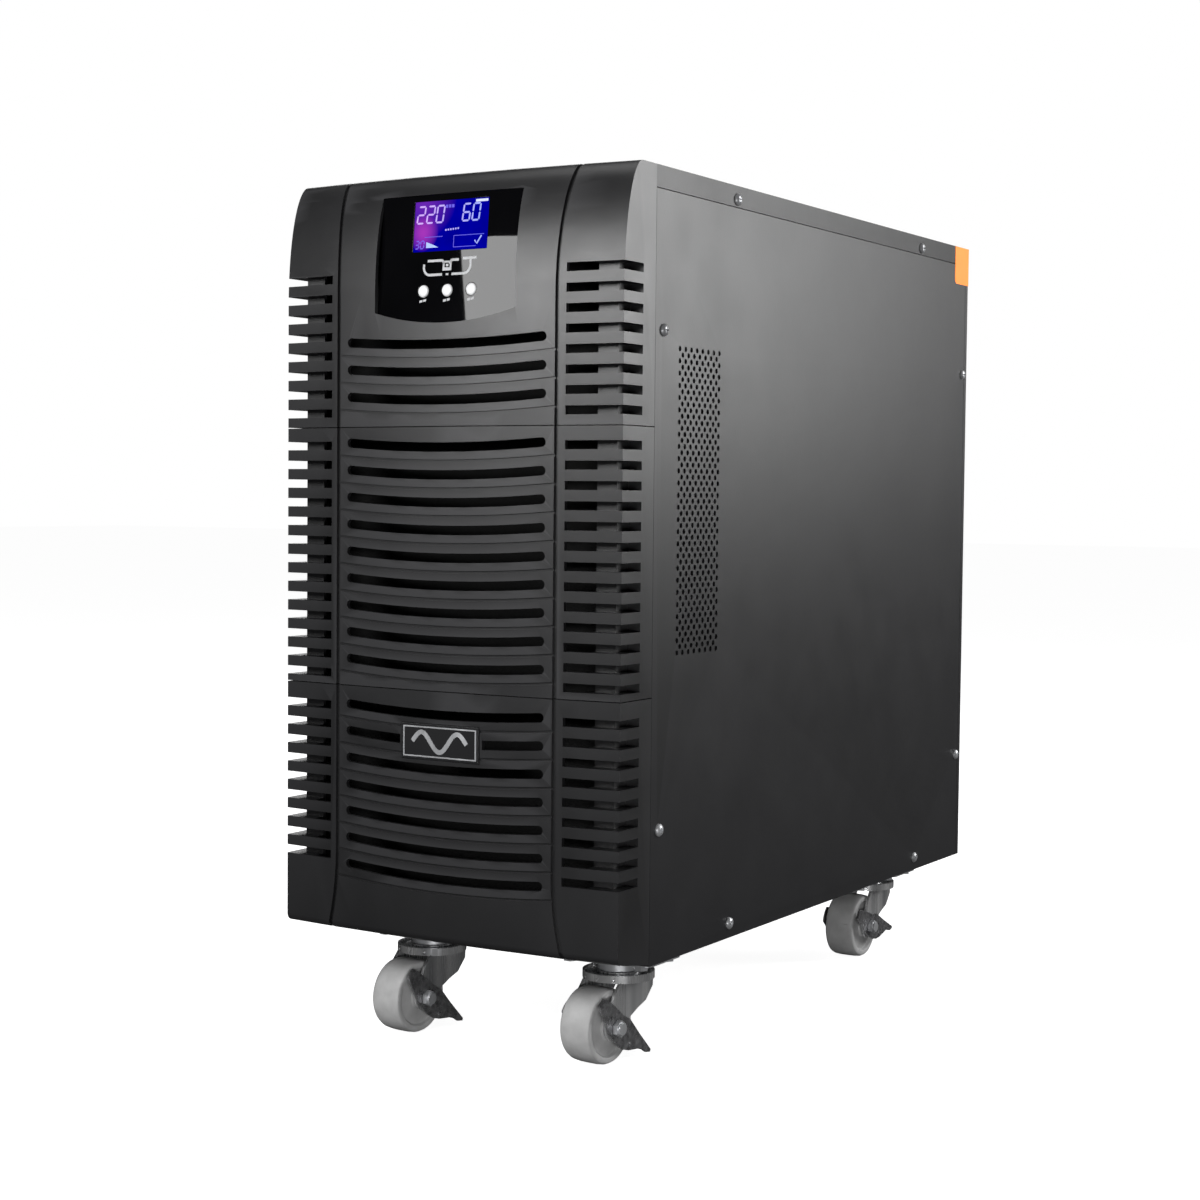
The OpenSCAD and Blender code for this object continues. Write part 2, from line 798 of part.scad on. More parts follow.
module bypass_switch_body() {
  color([0.15, 0.15, 0.16]) at_cabinet() translate([bypass_x, cab_d, bypass_z]) {
    difference() {
      union() {
        translate([0, 0.2, 0]) rotate([90, 0, 0]) cylinder(r = 16, h = 34, $fn = 64);
        slab(0.1, 2.5) rounded_rect(46, 46, 4);
      }
      translate([0, 4, 0]) rotate([90, 0, 0]) cylinder(r = 3 + run_gap, h = 16, $fn = 48);
    }
  }
}

// Rotary handle of the maintenance bypass switch.
module bypass_knob() {
  color([0.05, 0.05, 0.05]) at_cabinet() translate([bypass_x, cab_d + 2.9, bypass_z]) {
    slab(0, 4) circle(r = 15, $fn = 64);
    slab(3.9, 15) rounded_rect(9, 27, 3);
    slab(-12, 0.1) circle(r = 3, $fn = 48);
  }
}

// Barrier strip behind the terminal cover: body, walls and a screw in each cell.
module terminal_block() {
  color([0.2, 0.2, 0.2]) at_cabinet() translate([term_x, cab_d, term_z]) {
    block([-80, -26, -16], [80, -8, 16]);
    for (i = [0:8]) block([-80 + i * 19.75, -10, -16], [-78 + i * 19.75, 4, 16]);
    for (i = [0:7]) translate([-69 + i * 19.75, -8.1, 0]) rotate([-90, 0, 0])
      cylinder(r = 5, h = 4, $fn = 6);
  }
}

// Sheet box over the terminals, with four cable entries in its floor.
// The screws of its side tabs belong to the group of cover screws.
module terminal_cover() {
  t = 1.5;
  color(steel_paint) at_cabinet() translate([term_x, cab_d, term_z]) difference() {
    union() {
      difference() {
        block([-term_w / 2, 0.1, -term_h / 2], [term_w / 2, rear_out, term_h / 2]);
        block([-term_w / 2 + t, -1, -term_h / 2 + t], [term_w / 2 - t, rear_out - t, term_h / 2 - t]);
      }
      for (s = [-1, 1]) block([s * (term_w / 2 + 6) - 6.5, 0.1, -term_h / 2],
        [s * (term_w / 2 + 6) + 6.5, 1.6, term_h / 2]);
    }
    for (x = entry_x) translate([x, rear_out / 2, -term_h / 2 - 1])
      cylinder(r = entry_r, h = t + 2, $fn = 64);
    translate([-term_x, -cab_d, -term_z]) screw_clearance();
  }
}

module ground_stud() {
  color("goldenrod") at_cabinet() translate([stud_x, cab_d, stud_z]) rotate([-90, 0, 0]) {
    translate([0, 0, -8]) cylinder(r = stud_r, h = 8 + stud_out, $fn = 64);
    translate([0, 0, 0.1]) cylinder(r = 6.3, h = 4, $fn = 6);
    translate([0, 0, -sheet - 4.1]) cylinder(r = 6.3, h = 4, $fn = 6);
  }
}

// Socket panel: a nine-way serial port, a square data port, two phone-style ports, a small plug-in terminal.
module signal_ports() {
  color("silver") at_cabinet() translate([ports_x, cab_d, ports_z]) difference() {
    union() {
      block([-51.5, -16, -9.5], [51.5, 0.2, 9.5]);
      block([-54, 0.1, -12], [54, 1.6, 12]);
    }
    slab(-8, 3) {
      translate([-36, 0]) polygon([[-9, 4.5], [9, 4.5], [7.4, -4.5], [-7.4, -4.5]]);
      translate([-12, 0]) square([9, 8.4], center = true);
      translate([8, 0]) square([12, 10], center = true);
      translate([24, 0]) square([12, 10], center = true);
      translate([41, 0]) square([11, 7], center = true);
    }
  }
}

// Blank plate over the accessory card slot.
module slot_cover() {
  color(steel_paint) at_cabinet() translate([card_x, cab_d, card_z]) {
    slab(0.1, 1.5) difference() {
      rounded_rect(92, 44, 2);
      for (s = [-1, 1]) translate([s * 41.5, 0]) circle(r = 2.2, $fn = 32);
    }
    for (s = [-1, 1]) translate([s * 41.5, 1.5, 0]) rotate([-90, 0, 0])
      cylinder(r1 = 5, r2 = 4.2, h = 3, $fn = 48);
  }
}

// ---------- casters ----------

// Swivel axes, with the corner's sign in x and its index in y.
module at_plate(sx, iy) {
  translate([sx * caster_x, joint_y + caster_y[iy], 0]) children();
}

// The swivelled part of a caster at rest.
module at_caster(sx, iy) {
  at_plate(sx, iy) rotate([0, 0, caster_turn[iy]]) children();
}

module at_axle(sx, iy) {
  at_caster(sx, iy) translate([0, -trail, wheel_r]) children();
}

module at_corners() {
  for (i = [-1, 1]) for (j = [-1, 1]) translate([i * bolt_at[0], j * bolt_at[1], 0]) children();
}

module at_caster_bolts() {
  for (sx = [-1, 1]) for (y = caster_y) translate([sx * caster_x, y, 0]) at_corners() children();
}

// Top plates with the upper race and the riveted kingpin.
module caster_plates() {
  color(zinc) for (sx = [-1, 1]) for (iy = [0, 1]) at_plate(sx, iy) difference() {
    union() {
      translate([0, 0, plate_z]) linear_extrude(plate_t) rounded_rect(plate_w, plate_l, 5);
      rotate_extrude($fn = 64) polygon([
        [0, head_z0 - 2.6], [6, head_z0 - 2.6], [8, head_z0 - 1.8], [8, head_z0 - gap],
        [pin_r, head_z0 - gap], [pin_r, race_z + gap], [race_r - 1, race_z + gap],
        [race_r, race_z + 0.9], [race_r, plate_z + 0.5], [0, plate_z + 0.5]
      ]);
    }
    at_corners() translate([0, 0, plate_z - 1]) cylinder(r = 3.2, h = plate_t + 2, $fn = 32);
  }
}

module caster_bolts() {
  head_h = 3;
  below = pad_t + plate_t;
  color(zinc) at_cabinet() at_caster_bolts() {
    translate([0, 0, -below - head_h]) cylinder(r = 5, h = head_h, $fn = 6);
    translate([0, 0, -below - 0.1]) cylinder(r = 3, h = below + 6.4, $fn = 32);
    translate([0, 0, sheet + 0.1]) cylinder(r = 5, h = 4, $fn = 6);
  }
}

// One leg of the fork, drawn in y and z from the swivel axis and the floor.
module leg_outline() {
  difference() {
    union() {
      polygon([
        [-18.5, head_z0 + 1], [-25, 46], [-trail - 9, wheel_r], [-trail - 6, wheel_r - 6.5],
        [-trail + 6, wheel_r - 6.5], [-trail + 11, wheel_r], [-9, 28.3], [1, 33.4],
        [10.3, 36.9], [18, 45.5], [18.5, head_z0 + 1]
      ]);
      translate([-trail, wheel_r]) circle(r = 9, $fn = 48);
    }
    translate([-trail, wheel_r]) circle(r = axle_r + run_gap, $fn = 48);
  }
}

// Fork: round head with a groove in its top and three dimples in its front, and two legs.
module fork(sx, iy) {
  color(zinc) at_caster(sx, iy) difference() {
    union() {
      translate([0, 0, head_z0]) cylinder(r = head_r, h = race_z - head_z0, $fn = 96);
      both_sides() side_slab(leg_in, leg_out) leg_outline();
    }
    translate([0, 0, race_z - 1.5]) difference() {
      cylinder(r = head_r - 2.5, h = 3, $fn = 64);
      translate([0, 0, -1]) cylinder(r = race_r + 1, h = 5, $fn = 64);
    }
    translate([0, 0, head_z0 - 1]) cylinder(r = pin_r + run_gap, h = 10, $fn = 48);
    for (a = [-28, 0, 28]) rotate([0, 0, a]) translate([0, 3 - head_r, head_z0 + 2])
      rotate([90, 0, 0]) cylinder(r = 1.2, h = 4, $fn = 32);
  }
}

// Axle bolt with a hexagon head and a nut outside the brake plates.
module axle(sx, iy) {
  head_h = nut_out - brake_out - 0.3;
  color(zinc) at_axle(sx, iy) rotate([0, 90, 0]) {
    translate([0, 0, -nut_out]) cylinder(r = axle_r, h = 2 * nut_out + 1.5, $fn = 48);
    translate([0, 0, brake_out + 0.3]) cylinder(r = 5.6, h = head_h, $fn = 6);
    translate([0, 0, -nut_out]) cylinder(r = 5.6, h = head_h, $fn = 6);
  }
}

// Wheel with a crowned tread and dished sides.
module wheel(sx, iy) {
  h = wheel_w / 2;
  r = wheel_r;
  half = [[axle_r + run_gap, h], [8, h], [9, h - 1.6], [19, h - 2.6], [20, h - 0.4],
    [21, h], [r - 3, h], [r - 1.3, h - 0.7], [r - 0.5, h - 2.4], [r - 0.1, h - 6]];
  outline = concat(half, [[r, 0]], [for (i = [len(half) - 1:-1:0]) [half[i][0], -half[i][1]]]);
  color("silver") at_axle(sx, iy) rotate([0, 90, 0]) rotate_extrude($fn = 96) polygon(outline);
}

// Side plate of the brake lever, drawn in y and z from the axle.
module brake_outline() {
  difference() {
    polygon([
      [-19, 18], [-14.5, 22], [-10, 20.5], [0, 13], [7, 7.2], [15, 3.2], [25, -7.8],
      [38.5, -21.5], [38, -23.2], [33, -22.5], [27, -18.5], [20.5, -18], [13, -17.2],
      [7, -15.5], [1, -12], [-8, -3], [-16, 11]
    ]);
    circle(r = axle_r + run_gap, $fn = 48);
  }
}

// The plate on the far side, cut back at its front end.
module brake_outline_short() {
  intersection() {
    brake_outline();
    union() {
      circle(r = 17, $fn = 64);
      translate([0, -wheel_r]) square(2 * wheel_r);
    }
  }
}

// Foot brake: two riveted plates outside the fork, joined by a web and a toe tab behind the wheel.
module pedal(sx, iy) {
  color(dark_steel) at_axle(sx, iy) rotate([brake_lift[iy], 0, 0]) {
    side_slab(brake_in, brake_out) brake_outline();
    side_slab(-brake_out, -brake_in) brake_outline_short();
    both_sides() translate([brake_out - 0.5, 14.5, -14.4]) rotate([0, 90, 0])
      cylinder(r = 1.8, h = 1.3, $fn = 32);
    side_slab(-brake_out, brake_out)
      polygon([[25, -9.6], [26.2, -9], [38.5, -21.5], [37, -22.6], [26, -12.2]]);
    side_slab(-10, 10)
      polygon([[37.5, -20.5], [42.5, -22.1], [42, -23.6], [36.5, -22.4]]);
  }
}

module fork_fl() { fork(-1, 0); }
module fork_fr() { fork(1, 0); }
module fork_rl() { fork(-1, 1); }
module fork_rr() { fork(1, 1); }
module axle_fl() { axle(-1, 0); }
module axle_fr() { axle(1, 0); }
module axle_rl() { axle(-1, 1); }
module axle_rr() { axle(1, 1); }
module wheel_fl() { wheel(-1, 0); }
module wheel_fr() { wheel(1, 0); }
module wheel_rl() { wheel(-1, 1); }
module wheel_rr() { wheel(1, 1); }
module pedal_fl() { pedal(-1, 0); }
module pedal_fr() { pedal(1, 0); }
module pedal_rl() { pedal(-1, 1); }
module pedal_rr() { pedal(1, 1); }

bezel_top();
bezel_middle();
bezel_bottom();
display_lens();
lcd_module();
display_board();
badge();
button_left();
button_middle();
button_right();
top_cover();
side_panel_left();
side_panel_right();
rear_panel();
base_plate();
front_frame();
cover_screws();
seal_label();
battery_shelf();
battery_set_lower();
battery_set_upper();
battery_links();
electronics_shelf();
power_board();
heatsinks();
inductors();
capacitors();
control_board();
ribbon_cable();
fan_frames();
fan_guards();
fan_rotor_left();
fan_rotor_right();
breaker_body();
breaker_toggle();
bypass_switch_body();
bypass_knob();
terminal_block();
terminal_cover();
ground_stud();
signal_ports();
slot_cover();
caster_plates();
caster_bolts();
fork_fl();
fork_fr();
fork_rl();
fork_rr();
axle_fl();
axle_fr();
axle_rl();
axle_rr();
wheel_fl();
wheel_fr();
wheel_rl();
wheel_rr();
pedal_fl();
pedal_fr();
pedal_rl();
pedal_rr();
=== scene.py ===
"""Looks for the tower uninterruptible power supply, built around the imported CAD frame."""

import json
import math

import bmesh
import bpy
from mathutils import Matrix, Vector


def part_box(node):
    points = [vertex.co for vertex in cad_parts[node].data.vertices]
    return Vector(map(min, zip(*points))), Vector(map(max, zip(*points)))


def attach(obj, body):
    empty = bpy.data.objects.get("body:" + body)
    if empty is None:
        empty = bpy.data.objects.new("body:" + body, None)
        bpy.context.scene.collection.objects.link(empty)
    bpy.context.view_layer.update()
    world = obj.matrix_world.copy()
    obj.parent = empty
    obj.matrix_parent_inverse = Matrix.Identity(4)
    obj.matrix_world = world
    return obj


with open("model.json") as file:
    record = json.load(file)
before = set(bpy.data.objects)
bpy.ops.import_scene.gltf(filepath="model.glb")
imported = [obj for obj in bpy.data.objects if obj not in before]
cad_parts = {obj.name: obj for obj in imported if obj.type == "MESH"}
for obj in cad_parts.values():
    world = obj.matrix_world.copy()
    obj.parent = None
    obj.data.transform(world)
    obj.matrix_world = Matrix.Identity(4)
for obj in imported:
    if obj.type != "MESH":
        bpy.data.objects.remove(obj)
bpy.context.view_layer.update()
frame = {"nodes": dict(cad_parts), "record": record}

NODES = frame["nodes"]
MM = 0.001
CABINET = "cabinet"
CORNERS = ("fl", "fr", "rl", "rr")

# The joint plane between bezel and cabinet, and the underside of the cabinet.
JOINT_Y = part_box("top_cover")[0].y
BASE_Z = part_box("side_panel_right")[0].z


# ---------------------------------------------------------------- materials

# Noise scales are per metre. Most of a noise texture's values lie between these two.
NOISE_LOW, NOISE_HIGH = 0.3, 0.7
# Pointiness at which an edge begins to look rubbed and is fully rubbed, and how much paler it turns.
WEAR_START, WEAR_END, WEAR_PALER = 0.52, 0.62, 6.0


class Shader:
    """A small helper round one node tree, whose texture space is the object's own metres."""

    def __init__(self, name):
        self.material = bpy.data.materials.new(name)
        self.material.use_nodes = True
        self.tree = self.material.node_tree
        self.bsdf = self.tree.nodes["Principled BSDF"]
        self.coords = self.tree.nodes.new("ShaderNodeTexCoord").outputs["Object"]

    def node(self, kind, **values):
        made = self.tree.nodes.new(kind)
        for key, value in values.items():
            setattr(made, key, value)
        return made

    def link(self, out, socket):
        self.tree.links.new(out, socket)

    def noise(self, scale, detail=3.0, rough=0.5, stretch=None):
        tex = self.node("ShaderNodeTexNoise")
        tex.inputs["Scale"].default_value = scale
        tex.inputs["Detail"].default_value = detail
        tex.inputs["Roughness"].default_value = rough
        source = self.coords
        if stretch:
            mapping = self.node("ShaderNodeMapping")
            mapping.inputs["Scale"].default_value = stretch
            self.link(source, mapping.inputs["Vector"])
            source = mapping.outputs["Vector"]
        self.link(source, tex.inputs["Vector"])
        return tex.outputs["Fac"]

    def ramp(self, fac, stops):
        ramp = self.node("ShaderNodeValToRGB")
        elements = ramp.color_ramp.elements
        while len(elements) < len(stops):
            elements.new(0.5)
        for element, (place, colour) in zip(elements, stops):
            element.position = place
            element.color = (*colour, 1.0)
        self.link(fac, ramp.inputs["Fac"])
        return ramp.outputs["Color"]

    def span(self, fac, low, high, start=NOISE_LOW, end=NOISE_HIGH):
        move = self.node("ShaderNodeMapRange")
        move.inputs["From Min"].default_value = start
        move.inputs["From Max"].default_value = end
        move.inputs["To Min"].default_value = low
        move.inputs["To Max"].default_value = high
        self.link(fac, move.inputs["Value"])
        return move.outputs["Result"]

    def bump(self, height, strength, distance, under=None):
        bump = self.node("ShaderNodeBump")
        bump.inputs["Strength"].default_value = strength
        bump.inputs["Distance"].default_value = distance
        self.link(height, bump.inputs["Height"])
        if under:
            self.link(under, bump.inputs["Normal"])
        return bump.outputs["Normal"]

    def mix(self, fac, a, b):
        mix = self.node("ShaderNodeMix", data_type="RGBA")
        for socket, value in ((0, fac), (6, a), (7, b)):
            if isinstance(value, (tuple, list)):
                mix.inputs[socket].default_value = (*value, 1.0)
            elif isinstance(value, (int, float)):
                mix.inputs[socket].default_value = value
            else:
                self.link(value, mix.inputs[socket])
        return mix.outputs[2]

    def set(self, **values):
        for key, value in values.items():
            socket = self.bsdf.inputs[key.replace("_", " ")]
            if isinstance(value, (int, float)):
                socket.default_value = value
            elif isinstance(value, tuple):
                socket.default_value = (*value, 1.0)
            else:
                self.link(value, socket)
        return self


def shade(colour, factor):
    return tuple(min(1.0, c * factor) for c in colour)


def patches(colour, vary, end=NOISE_HIGH):
    """Ramp stops from a darker to a paler version of the colour."""
    return [(NOISE_LOW, shade(colour, 1 - vary)), (end, shade(colour, 1 + vary))]


def coating(name, colour, rough, grain, depth, patch=6.0, vary=0.16, wear=0.0, **extra):
    """A moulded or coated surface: patchy tint, fine grain, uneven gloss and rubbed edges.

    The grain and patch scales are per metre, and depth is the relief of the grain in metres.
    """
    s = Shader(name)
    tint = s.ramp(s.noise(patch, 4.0), patches(colour, vary))
    if wear:
        pointed = s.node("ShaderNodeNewGeometry").outputs["Pointiness"]
        tint = s.mix(s.span(pointed, 0.0, wear, WEAR_START, WEAR_END), tint, shade(colour, WEAR_PALER))
    smudge = s.span(s.noise(22.0, 5.0, 0.65), rough - 0.02, rough + 0.03)
    fine = s.bump(s.noise(grain, 2.0), 0.55, depth)
    relief = s.bump(s.noise(grain / 9, 2.0), 0.18, depth * 2.5, fine)
    return s.set(Base_Color=tint, Roughness=smudge, Normal=relief, **extra).material


def metal(name, colour, rough, stretch=(1, 1, 1), vary=0.12, grain=900.0, depth=2e-5, patch=45.0,
          detail=5.0, **extra):
    """Plated or drawn metal: streaks along the working direction, tarnish patches and fine scratches; on
    the fork the patches are broad painted reflection bands.
    """
    s = Shader(name)
    # Tarnish patches; with the fork's stretch they become upright bands of painted reflection and shade.
    tarnish_and_painted_bands = s.noise(patch, detail, 0.6, stretch)
    tint = s.ramp(tarnish_and_painted_bands, patches(colour, vary, 0.72))
    gloss = s.span(s.noise(160.0, 4.0, 0.7, stretch), rough - 0.08, rough + 0.12)
    lines = s.bump(s.noise(grain, 3.0, 0.6, stretch), 0.35, depth)
    extra.setdefault("Metallic", 1.0)
    return s.set(Base_Color=tint, Roughness=gloss, Normal=lines, **extra).material


def glossy(name, colour, rough, **extra):
    """A polished face with faint wipe marks in its gloss."""
    s = Shader(name)
    tint = s.ramp(s.noise(18.0, 4.0), patches(colour, 0.3))
    wiped = s.span(s.noise(40.0, 6.0, 0.7, (1.0, 1.0, 0.2)), 0.6 * rough, 1.6 * rough)
    wave = s.bump(s.noise(9.0, 1.0), 0.05, 1e-5)
    return s.set(Base_Color=tint, Roughness=wiped, Normal=wave, **extra).material


def printed(name, colour):
    """Screen print: slightly uneven ink."""
    s = Shader(name)
    ink = s.ramp(s.noise(700.0, 3.0), [(0.25, shade(colour, 0.8)), (0.65, colour)])
    return s.set(Base_Color=ink, Roughness=s.span(s.noise(300.0), 0.37, 0.55)).material


def lit_segment(name, left, right, low, high):
    """A lit segment whose light turns from one colour to the other across the display."""
    s = Shader(name)
    place = s.node("ShaderNodeSeparateXYZ")
    s.link(s.coords, place.inputs["Vector"])
    across = s.span(place.outputs["X"], 0.0, 1.0, low.x, high.x)
    glow = s.mix(across, left, right)
    uneven = s.span(s.noise(400.0, 2.0), 0.85, 1.05)
    return s.set(Base_Color=(0.02, 0.02, 0.1), Emission_Color=glow, Emission_Strength=uneven,
                 Roughness=0.35, Specular_IOR_Level=0.1).material


def lcd_screen(name, low, high):
    """Backlight: deep blue, with a magenta bloom low on the left and a violet one along the top."""
    s = Shader(name)

    def bloom(across, up, near, far):
        spot = s.node("ShaderNodeVectorMath", operation="DISTANCE")
        s.link(s.coords, spot.inputs[0])
        spot.inputs[1].default_value = (
            low.x + across * (high.x - low.x), (low.y + high.y) / 2, low.z + up * (high.z - low.z))
        return s.span(spot.outputs["Value"], 1.0, 0.0, near * MM, far * MM)

    blue = s.ramp(s.noise(90.0, 2.0), [(NOISE_LOW, (0.0, 0.0, 0.27)), (NOISE_HIGH, (0.0, 0.0, 0.36))])
    violet = s.mix(bloom(0.15, 0.95, 4.0, 26.0), blue, (0.14, 0.02, 0.42))
    glow = s.mix(bloom(0.16, 0.4, 2.0, 13.0), violet, (0.50, 0.05, 0.52))
    s.set(Base_Color=(0.0, 0.0, 0.02), Emission_Color=glow, Emission_Strength=1.0, Roughness=0.3,
          Specular_IOR_Level=0.0)
    return s.material


def make_materials():
    made = {
        "bezel_plastic": coating("moulded_black", (0.0175, 0.0175, 0.0185), 0.35, 1400.0, 6e-5, wear=0.25),
        "painted_sheet": coating("powder_coat", (0.011, 0.011, 0.012), 0.37, 700.0, 5e-5, vary=0.1,
                                 wear=0.2),
        "lens_black": glossy("lens_gloss", (0.002, 0.002, 0.0025), 0.012, Specular_IOR_Level=0.2),
        "pcb_green": coating("solder_mask", (0.01, 0.09, 0.03), 0.35, 500.0, 2e-5, patch=120.0,
                             vary=0.35),
        "badge_plate": coating("badge_black", (0.016, 0.016, 0.017), 0.3, 900.0, 2e-5),
        # The white caps glow faintly: painted light that brightens them.
        "button_white": coating("button_white", (0.85, 0.86, 0.87), 0.3, 900.0, 1e-5, vary=0.05,
                                Emission_Color=(1.0, 1.0, 1.0), Emission_Strength=0.12),
        "zinc_steel": metal("zinc_plate", (0.66, 0.67, 0.69), 0.36, (1.0, 1.0, 0.12), vary=0.3,
                            Metallic=0.55),
        "galvanised": metal("galvanised", (0.5, 0.51, 0.53), 0.45),
        # The orange seal glows in its own colour: painted light that makes it brighter than its lit paint.
        "seal_orange": coating("seal_orange", (1.0, 0.26, 0.0), 0.45, 500.0, 2e-5, patch=60.0, vary=0.08,
                               Emission_Color=(1.0, 0.26, 0.0), Emission_Strength=0.75),
        "battery_case": coating("battery_case", (0.012, 0.012, 0.014), 0.5, 800.0, 4e-5),
        "copper_strap": metal("tinned_copper", (0.72, 0.42, 0.25), 0.35),
        "aluminium_fins": metal("extruded_alloy", (0.55, 0.56, 0.58), 0.38, (1, 12, 1)),
        "winding": metal("enamelled_wire", (0.45, 0.16, 0.05), 0.3, (1, 1, 8)),
        "sleeve_blue": coating("sleeve_blue", (0.006, 0.01, 0.06), 0.3, 400.0, 2e-5),
        "cable_grey": coating("ribbon_grey", (0.35, 0.35, 0.36), 0.5, 700.0, 3e-5),
        "fan_plastic": coating("fan_black", (0.012, 0.012, 0.013), 0.38, 900.0, 3e-5),
        "switch_black": coating("switch_black", (0.01, 0.01, 0.011), 0.36, 900.0, 4e-5),
        "brass_stud": metal("brass", (0.75, 0.5, 0.18), 0.28, (1, 1, 14)),
        "port_shell": metal("nickel_shell", (0.6, 0.6, 0.6), 0.3),
        "tyre_grey": coating("wheel_grey", (0.62, 0.62, 0.62), 0.55, 650.0, 8e-5, patch=70.0, vary=0.14),
        "brake_steel": metal("blackened_steel", (0.36, 0.36, 0.37), 0.27, vary=0.5, patch=230.0, depth=8e-5,
                             Metallic=0.75),
    }
    made["lcd_blue"] = lcd_screen("lcd_backlight", *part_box("lcd_module"))
    return made


MATERIALS = make_materials()
LCD_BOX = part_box("lcd_module")
SEGMENT = lit_segment("lcd_segment", (0.75, 0.42, 0.95), (0.3, 0.45, 0.95), *LCD_BOX)
DIM_SEGMENT = lit_segment("lcd_small_segment", (0.2, 0.1, 0.75), (0.07, 0.1, 0.8), *LCD_BOX)
# This light also serves a painted highlight: a glowing bar at the top right of the display.
BRIGHT_SEGMENT_AND_HIGHLIGHT = lit_segment("lcd_bright_segment_and_highlight", (0.35, 0.55, 1.0), (0.85, 0.9, 1.0), *LCD_BOX)
# A near-black sheet behind the bezel slots: painted shade that keeps them dark.
SLOT_SHADE_SHEET = coating("near_black_shade_sheet", (0.004, 0.004, 0.004), 0.9, 420.0, 6e-4, vary=0.4)
# Broad upright tint bands on the flat fork legs: painted reflection and shade of a curved shell.
FORK_ZINC_PAINTED_BANDS = metal("pressed_zinc_painted_bands", (0.72, 0.73, 0.75), 0.26, (1.0, 1.0, 0.04), vary=0.45, patch=55.0,
                  detail=1.0, depth=7e-6, Metallic=0.6)
COVER_SHEET = coating("powder_coat_cover", (0.011, 0.011, 0.012), 0.37, 700.0, 5e-5, vary=0.1, wear=0.2,
                      Specular_IOR_Level=0.36)
PRINT_WHITE = printed("print_white", (0.62, 0.63, 0.65))


# ---------------------------------------------------------------- CAD nodes


# Radii, in millimetres, of the edges that show.
EDGE_RADIUS = {
    "bezel_top": 0.6, "bezel_middle": 0.6, "bezel_bottom": 0.6, "top_cover": 0.5,
    "terminal_cover": 0.5, "display_lens": 0.3, "badge": 0.3, "bypass_knob": 0.8,
    "breaker_body": 0.5, "breaker_toggle": 0.5, "bypass_switch_body": 0.5, "slot_cover": 0.3,
}
CASTER_RADIUS = {"fork_": 0.5, "pedal_": 0.4, "wheel_": 0.3, "axle_": 0.4}
EDGE_RADIUS.update({part + corner: radius for part, radius in CASTER_RADIUS.items() for corner in CORNERS})

WELD_GAP = 0.002 * MM
FLAT_ANGLE = math.radians(0.6)
ROUNDED_ANGLE = math.radians(32)
# Edges sharper than this stay sharp in the shading, on pieces with rounded edges and on the others.
SHARP_WHEN_ROUNDED = math.radians(50)
SHARP_WHEN_PLAIN = math.radians(30)


def looks_of(name, slot):
    """The slot's material, or the piece's own version of it."""
    if name.startswith("fork_"):
        return FORK_ZINC_PAINTED_BANDS
    return COVER_SHEET if name == "top_cover" else MATERIALS[slot]


def round_edges(piece, radius):
    """Joins flat facets into whole faces and rounds the edges between them."""
    flat = piece.modifiers.new("flat", "DECIMATE")
    flat.decimate_type = "DISSOLVE"
    flat.angle_limit = FLAT_ANGLE
    bevel = piece.modifiers.new("edge", "BEVEL")
    bevel.width = radius * MM
    bevel.segments = 2
    bevel.limit_method = "ANGLE"
    bevel.angle_limit = ROUNDED_ANGLE
    bevel.miter_outer = "MITER_ARC"


def smooth_by_angle(piece, angle):
    """Smooth shading, split along the edges that are sharper than the given angle."""
    mesh = piece.data
    mesh.polygons.foreach_set("use_smooth", [True] * len(mesh.polygons))
    split = piece.modifiers.new("split", "EDGE_SPLIT")
    split.split_angle = angle
    split.use_edge_sharp = False
    normals = piece.modifiers.new("normals", "WEIGHTED_NORMAL")
    normals.keep_sharp = True
    normals.weight = 60


def dress_cad_nodes():
    """Gives every CAD node its material, and small radii on the edges that show."""
    slot_of = {row["node"]: row["material_slot"] for row in frame["record"]["subparts"]}
    for name, piece in NODES.items():
        piece.data.materials.clear()
        piece.data.materials.append(looks_of(name, slot_of[name]))
        for polygon in piece.data.polygons:
            polygon.material_index = 0
        weld = piece.modifiers.new("weld", "WELD")
        weld.merge_threshold = WELD_GAP
        if name in EDGE_RADIUS:
            round_edges(piece, EDGE_RADIUS[name])
            smooth_by_angle(piece, SHARP_WHEN_ROUNDED)
        else:
            smooth_by_angle(piece, SHARP_WHEN_PLAIN)


dress_cad_nodes()


# ---------------------------------------------------------------- display prints and segments

# The lens leans back; its own axes are u to the right, v up the face and w outwards.
LENS_LEAN = math.radians(4.87)
LENS_U = Vector((1.0, 0.0, 0.0))
LENS_V = Vector((0.0, math.sin(LENS_LEAN), math.cos(LENS_LEAN)))
LENS_W = Vector((0.0, -math.cos(LENS_LEAN), math.sin(LENS_LEAN)))
LENS_FOOT = Vector((0.0, JOINT_Y - 41 * MM, BASE_Z + 403.8 * MM))
# How far the display's face lies behind the face of the lens, in millimetres.
LCD_SUNK = 0.3


def on_lens(u, v, w=0.0):
    """A point of the lens from millimetres along its own axes."""
    return LENS_FOOT + MM * (u * LENS_U + v * LENS_V + w * LENS_W)


def on_lcd(u, v, w=0.0):
    """The same axes on the face of the display, which sits a little behind the lens."""
    return on_lens(u, v, w - LCD_SUNK)


def on_badge(u, v, w=0.0):
    """A point on the badge from its middle, in millimetres."""
    low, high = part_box("badge")
    return Vector((u * MM, low.y - w * MM, (low.z + high.z) / 2 + v * MM))


def plate_shape(bm, outline, place, thickness):
    """A thin closed plate with the given outline; place maps outline millimetres to the frame."""
    front = [bm.verts.new(place(u, v, thickness)) for u, v in outline]
    back = [bm.verts.new(place(u, v, 0.0)) for u, v in outline]
    bm.faces.new(front)
    bm.faces.new(list(reversed(back)))
    for i in range(len(outline)):
        j = (i + 1) % len(outline)
        bm.faces.new((front[j], front[i], back[i], back[j]))


def facing(outline):
    """The outline in the turning sense whose front faces outwards."""
    area = sum(a[0] * b[1] - b[0] * a[1] for a, b in zip(outline, outline[1:] + outline[:1]))
    return outline if area > 0 else outline[::-1]


